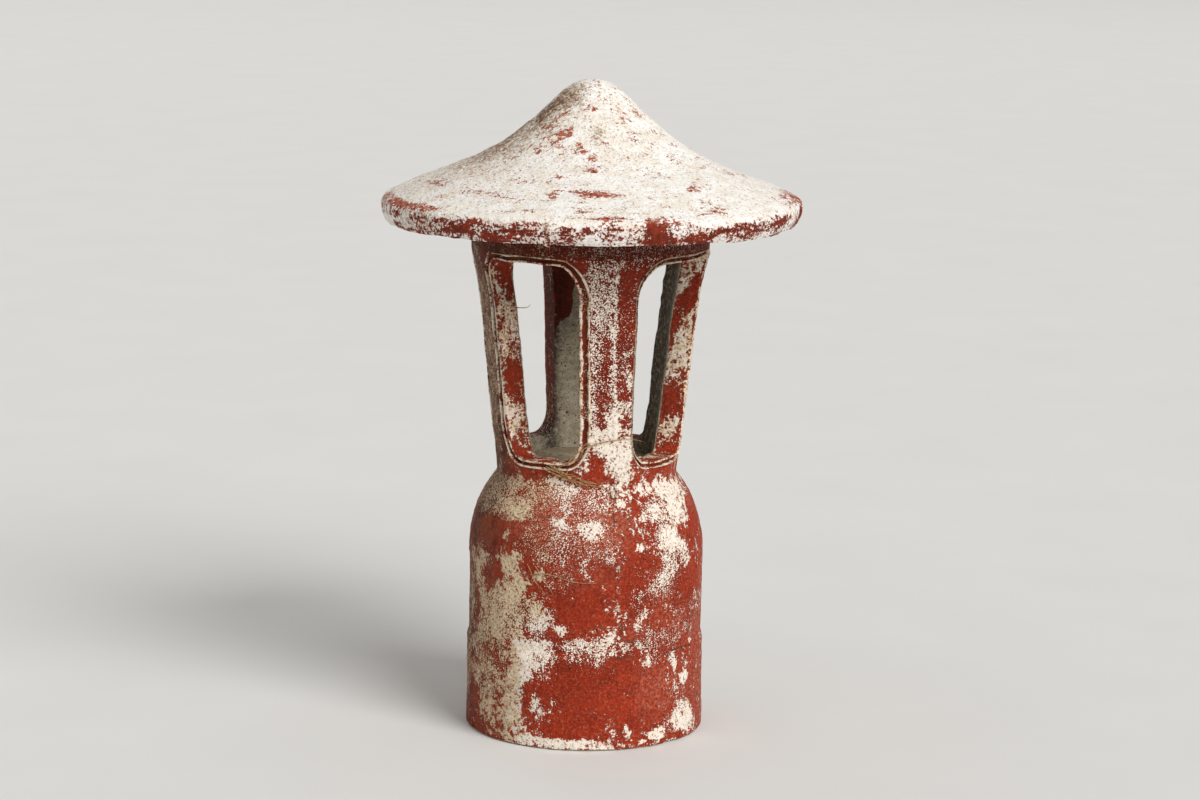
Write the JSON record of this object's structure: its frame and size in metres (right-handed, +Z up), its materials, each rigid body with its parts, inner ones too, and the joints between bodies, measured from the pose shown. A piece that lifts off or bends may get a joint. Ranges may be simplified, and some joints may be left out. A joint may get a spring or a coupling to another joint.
{
  "type": "garden lantern",
  "caption": "Painted cast-cement garden lantern: hollow barrel foot, flared chamber with arched windows, and a loose hat-shaped roof that lifts off.",
  "frame": {"origin": "middle of the underside of the foot, on the lantern's axis", "axes": "+Z up along the lantern's axis; the front post points along -Y and the two body halves meet at X = 0"},
  "size_m": [0.3058, 0.3058, 0.475],
  "materials": {
    "painted_cement": "chalky brick-red paint, worn through to cream cement",
    "slurry": "brushed cement slurry under the same red paint, cracked",
    "window_lining": "cream cement with blotches of red paint",
    "bare_cement": "raw grey cement with small pits",
    "worn_roof": "cream cement with lichen specks and remnants of red paint",
    "iron_wire": "rusted iron wire",
    "dried_rootlet": "thin dry plant fibre"
  },
  "bodies": {
    "body": {"body_shell_left": "painted_cement", "body_shell_right": "painted_cement", "seam_joint_front": "slurry", "seam_joint_back": "slurry", "window_lining_front_left": "window_lining", "window_lining_front_right": "window_lining", "window_lining_back_left": "window_lining", "window_lining_back_right": "window_lining", "chamber_floor": "bare_cement", "post_wires_left": "iron_wire", "post_wires_right": "iron_wire", "top_hoops": "iron_wire", "neck_hoops": "iron_wire"},
    "roof": {"roof": "worn_roof"}
  },
  "joints": [
    {"name": "roof_lift", "type": "slide", "parent": "body", "child": "roof", "axis": [0, 0, 1], "range_m": [0, 0.12]}
  ]
}
